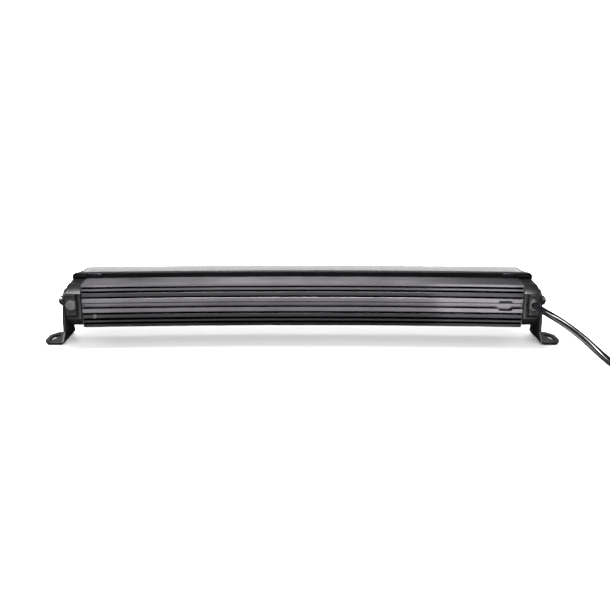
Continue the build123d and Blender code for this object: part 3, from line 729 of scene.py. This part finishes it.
def socket_screw(mesh, place, head_r, head_h, shank_r, shank, socket):
    """A pan head with a hexagon socket. The place is under the head, with its Z out of the material."""
    profile = [
        (0, -shank),
        (shank_r - 0.3, -shank),
        (shank_r, -shank + 0.4),
        (shank_r, 0),
        (head_r, 0),
        (head_r, head_h * 0.35),
        (head_r * 0.96, head_h * 0.6),
        (head_r * 0.86, head_h * 0.84),
        (head_r * 0.72, head_h * 0.97),
        (head_r * 0.62, head_h),
        (socket * 1.12, head_h),
        (socket, head_h * 0.92, 6),
        (socket, head_h * 0.4, 6),
        (socket * 0.5, head_h * 0.32),
        (0, head_h * 0.3),
    ]
    lathe(mesh, profile, place)


def add_end_cap_screws(materials):
    mesh = bmesh.new()
    turn = turn_at(CAP_PLANE_X) + MM / BEND_R
    for side in (-1, 1):
        out = Vector((side * math.cos(turn), -math.sin(turn), 0))
        for y, z in CAP_SCREW_PLACES:
            radius = BEND_R / MM + y
            spot = Vector((side * radius * math.sin(turn), radius * math.cos(turn) - BEND_R / MM, z))
            socket_screw(mesh, facing(spot + out * CAP_SEAT, out), **CAP_SCREW)
    to_piece("cap_screws", mesh, materials, "black_steel", ("end_cap_screws",))


def add_small_screws(materials):
    mesh = bmesh.new()
    for x in (-CLIP_SCREW_X, CLIP_SCREW_X):
        for z in CLIP_SCREW_HEIGHTS:
            socket_screw(mesh, on_bar(x, CLIP_SEAT_Y, z, -1), **CLIP_SCREW)
    to_piece("clip_screws", mesh, materials, "black_steel", ("frame_clip_screws",))
    mesh = bmesh.new()
    half = LED_COUNT // 2
    for i in range(-half + 1, half):
        socket_screw(mesh, on_bar(i * LED_PITCH, LED_SEAT, FACE_Z / MM), **BOARD_SCREW)
    to_piece("led_board_screws", mesh, materials, "stainless", ("board_screws",))


def on_pivot(side, x):
    """A matrix on the tilting axis, with its Z away from the bar."""
    return facing((side * x, PIVOT.y / MM, PIVOT.z / MM), (side, 0, 0))


def add_pivot_hardware(materials):
    bolts, washers, springs = bmesh.new(), bmesh.new(), bmesh.new()
    ring = [(3.1, 0.15), (3.25, 0), (6.4, 0), (6.6, 0.2), (6.6, 0.95), (6.35, 1.2), (3.3, 1.2), (3.1, 1.0)]
    for side in (-1, 1):
        lathe(washers, ring, on_pivot(side, WASHER_X), 56, closed=True)
        add_spring_ring(springs, on_pivot(side, SPRING_X))
        profile = [(0, -15.8), (2.6, -15.8), (3.0, -15.2)]
        for i in range(THREAD_TURNS):
            profile += [(3.0, -15.0 + i), (2.75, -14.6 + i), (3.0, -14.2 + i)]
        profile += [(3.0, 0), (5.6, 0), (5.8, 0.25), (5.8, 1.0), (5.66, 1.9), (5.2, 2.8), (4.4, 3.55)]
        profile += [(3.6, 4.0), (2.9, 4.2), (2.62, 4.2), (2.45, 4.0, 6), (2.45, 1.6, 6)]
        profile += [(1.2, 1.35), (0, 1.2)]
        lathe(bolts, profile, on_pivot(side, BOLT_HEAD_X), 60)
    to_piece("pivot_bolt_heads", bolts, materials, "stainless", ("pivot_bolts",))
    to_piece("pivot_flat_washers", washers, materials, "stainless", ("pivot_washers",))
    to_piece("pivot_split_washers", springs, materials, "spring_steel", ("pivot_spring_washers",))


def add_spring_ring(mesh, place):
    """A ring cut at one place, with one end lifted a little."""
    corners = [(3.2, 0.08), (5.3, 0.08), (5.42, 0.2), (5.42, 1.1), (5.3, 1.25), (3.2, 1.25)]
    rings = []
    steps = 60
    for i in range(steps + 1):
        angle = math.radians(SPRING_START + SPRING_SWEEP * i / steps)
        lift = SPRING_LIFT * i / steps
        ring = []
        for radius, height in corners:
            point = Vector((radius * math.cos(angle), radius * math.sin(angle), height + lift))
            ring.append(mesh.verts.new(place @ point))
        rings.append(ring)
    for low, high in zip(rings, rings[1:]):
        for i in range(len(corners)):
            j = (i + 1) % len(corners)
            mesh.faces.new((low[i], low[j], high[j], high[i]))
    mesh.faces.new(rings[0])
    mesh.faces.new(rings[-1])


# ---------- gland, plug and breather ----------
PORT_X, PORT_Z = 272.2, 45.3
PAD_REAR, PAD_INNER_X = -40.7, 266.6
GLAND_SINK, GLAND_CUT = 0.6, 0.2
BLANK_SINK, BLANK_CUT = 0.3, 0.5
BREATHER_PLACE = (-248.0, -25.8, 29.5)
BREATHER_SLOTS, BREATHER_SLOT_R = 6, 1.38


def cut_flat(mesh, x):
    """Cut away what lies nearer the middle of the bar than x, and close the cut."""
    geom = mesh.verts[:] + mesh.edges[:] + mesh.faces[:]
    toward = (-math.copysign(1, x), 0, 0)
    cut = bmesh.ops.bisect_plane(mesh, geom=geom, plane_co=(x, 0, 0), plane_no=toward, clear_outer=True)
    edges = [e for e in cut["geom_cut"] if isinstance(e, bmesh.types.BMEdge)]
    bmesh.ops.holes_fill(mesh, edges=edges, sides=0)


def add_gland(materials):
    mouth = facing((PORT_X, PAD_REAR - GLAND_SINK, PORT_Z), (0, -1, 0))
    profile = [(4.02, -7.0), (4.6, -7.0), (7.1, -7.0), (7.1, -0.3), (6.85, 0), (6.35, 0)]
    profile += [(6.1, -0.5), (5.85, -0.5), (5.8, 0.1), (5.6, 0.35), (5.25, 0.4), (5.25, 0.7)]
    profile += [(5.5, 0.8), (5.45, 1.15), (5.1, 1.25), (5.1, 1.5), (5.2, 1.6), (5.0, 1.85)]
    profile += [(4.3, 1.9), (4.02, 1.7)]
    mesh = bmesh.new()
    lathe(mesh, profile, mouth, 64, closed=True)
    cut_flat(mesh, PAD_INNER_X + GLAND_CUT)
    to_piece("gland_rings", mesh, materials, "gland_rubber", ("cable_gland",))


def add_plug(materials):
    mouth = facing((-PORT_X, PAD_REAR - BLANK_SINK, PORT_Z), (0, -1, 0))
    profile = [(0, -10.0), (5.4, -10.0), (5.4, -7.2), (6.95, -7.2), (6.95, -1.7), (6.15, -1.9)]
    profile += [(6.1, -0.35), (5.9, -0.05), (5.4, 0.1), (3.0, 0.22), (0, 0.25)]
    mesh = bmesh.new()
    lathe(mesh, profile, mouth, 64)
    cut_flat(mesh, -PAD_INNER_X - BLANK_CUT)
    to_piece("plug_disc", mesh, materials, "plug_rubber", ("blank_plug",))


def add_breather(materials):
    seat = on_bar(*BREATHER_PLACE, -1)
    profile = [(0, -4.9), (1.95, -4.9), (1.95, -0.6), (2.6, -0.6), (2.6, -0.25), (2.4, 0), (1.75, 0)]
    profile += [(1.65, -0.3), (1.1, -0.35), (1.0, -0.1), (0.6, 0), (0, 0.02)]
    mesh = bmesh.new()
    lathe(mesh, profile, seat, 40)
    for i in range(BREATHER_SLOTS):
        turn = Matrix.Rotation(2 * math.pi * i / BREATHER_SLOTS, 4, "Z")
        spoke = seat @ turn @ Matrix.Translation((BREATHER_SLOT_R, 0, 0))
        slab(mesh, oblong(0.8, 0.34, 0.1, 3), -0.4, -0.06, spoke)
    to_piece("breather_cap", mesh, materials, "vent_plastic", ("breather_vent",))


# ---------- connector and tie ----------
PLUG_X, PLUG_REAR, PLUG_Z = 417.5, -64.0, 9.8
PLUG_HALF_W = 8.9
SHELL_EDGE, LOCK_EDGE = 0.45, 0.3
RIB_COUNT, RIB_START, RIB_PITCH = 6, 6.0, 2.0
SEAL_RIBS, SEAL_PITCH = 3, 2
PIN_X, PIN_START = 3.2, 20
TIE_ANGLE = math.radians(250)
STRAP_T, STRAP_GAP, STRAP_HALF_W = 1.0, 0.05, 2.4
TIE_HEAD_RISE = 7.2
FLOOR_GAP = 0.05


def add_connector(materials):
    softened("connector_housing", "connector_body", materials, SHELL_EDGE)
    softened("connector_wedge", "connector_lock", materials, LOCK_EDGE)
    mesh = bmesh.new()
    upright = Matrix.Rotation(math.pi / 2, 4, "Z")
    for side in (-1, 1):
        for i in range(RIB_COUNT):
            y = PLUG_REAR + RIB_START + RIB_PITCH * i
            place = facing((PLUG_X + side * PLUG_HALF_W, y, PLUG_Z), (side, 0, 0))
            slab(mesh, oblong(0.9, 9.0, 0.4, 3), 0, 0.45, place @ upright)
    to_piece("connector_grips", mesh, materials, "plug_plastic")
    mesh = bmesh.new()
    profile = [(4.02, 0.1), (5.2, 0.1), (5.6, 0.4)]
    for rise in range(0, SEAL_RIBS * SEAL_PITCH, SEAL_PITCH):
        profile += [(5.6, 0.9 + rise), (5.98, 1.3 + rise), (5.98, 1.7 + rise), (5.6, 2.1 + rise)]
    profile += [(5.6, 7.2), (4.02, 7.2)]
    lathe(mesh, profile, facing((PLUG_X, PLUG_REAR, PLUG_Z), (0, 1, 0)), 56, closed=True)
    to_piece("connector_wire_seal", mesh, materials, "seal_rubber", ("connector_seal",))
    mesh = bmesh.new()
    profile = [(0, 0), (1.2, 0), (1.2, 9.6), (1.0, 11.0), (0.5, 11.8), (0, 12.0)]
    for x_off in (-PIN_X, PIN_X):
        lathe(mesh, profile, facing((PLUG_X + x_off, PLUG_REAR + PIN_START, PLUG_Z), (0, 1, 0)), 32)
    to_piece("connector_contacts", mesh, materials, "pin_brass", ("connector_pins",))


def add_tie(materials):
    """A strap drawn tight round the three turns, with its head on top and its cut end through it."""
    out = Vector((math.cos(TIE_ANGLE), math.sin(TIE_ANGLE), 0))
    along = Vector((-math.sin(TIE_ANGLE), math.cos(TIE_ANGLE), 0))
    matrix = Matrix((out, (0, 0, 1), along)).transposed().to_4x4()
    matrix.translation = (*COIL_CENTRE, 0)
    turns = [(INNER_TURN_R, LOW_Z), (OUTER_TURN_R, LOW_Z), (TOP_TURN_R, HIGH_Z)]
    outer = rounded(turns, CABLE_D / 2 + STRAP_T, 10)
    inner = rounded(turns, CABLE_D / 2 + STRAP_GAP, 10)
    mesh = bmesh.new()
    rings = []
    w = STRAP_HALF_W
    for outline, z in ((outer, -w), (outer, w), (inner, w), (inner, -w)):
        rings.append([mesh.verts.new(matrix @ Vector((x, max(y, FLOOR_GAP), z))) for x, y in outline])
    for low, high in zip(rings, rings[1:] + rings[:1]):
        for i in range(len(outer)):
            j = (i + 1) % len(outer)
            mesh.faces.new((low[i], low[j], high[j], high[i]))
    top = matrix @ Matrix.Translation((TOP_TURN_R, HIGH_Z + TIE_HEAD_RISE, 0))
    head = top @ Matrix.Rotation(math.pi / 2, 4, "X")
    slab(mesh, oblong(6.4, 6.6, 0.8), -2.3, 2.2, head)
    slab(mesh, oblong(9.5, 4.2, 0.6), -1.2, -0.1, head @ Matrix.Translation((-6.2, 0, 0)))
    ease_edges(mesh, 0.25)
    to_piece("tie_strap", mesh, materials, "tie_plastic", ("cable_tie",))


# ---------- build ----------
CAP_EDGE, PLATE_EDGE, FRAME_EDGE, CLIP_EDGE = 0.55, 0.5, 0.45, 0.25


def main():
    add_camera()
    add_studio()
    materials = make_materials()
    paint_nodes(materials)
    add_cable(materials)
    for side in ("right", "left"):
        softened(f"{side}_end_cap", f"{side}_cap_casting", materials, CAP_EDGE)
        softened(f"{side}_bracket", f"{side}_foot_plate", materials, PLATE_EDGE, f"{side}_bracket")
    softened("front_frame", "frame_casting", materials, FRAME_EDGE)
    softened("frame_clips", "frame_clip_plates", materials, CLIP_EDGE)
    add_reflectors(materials)
    add_leds(materials)
    add_end_cap_screws(materials)
    add_small_screws(materials)
    add_pivot_hardware(materials)
    add_gland(materials)
    add_plug(materials)
    add_breather(materials)
    add_connector(materials)
    add_tie(materials)


main()
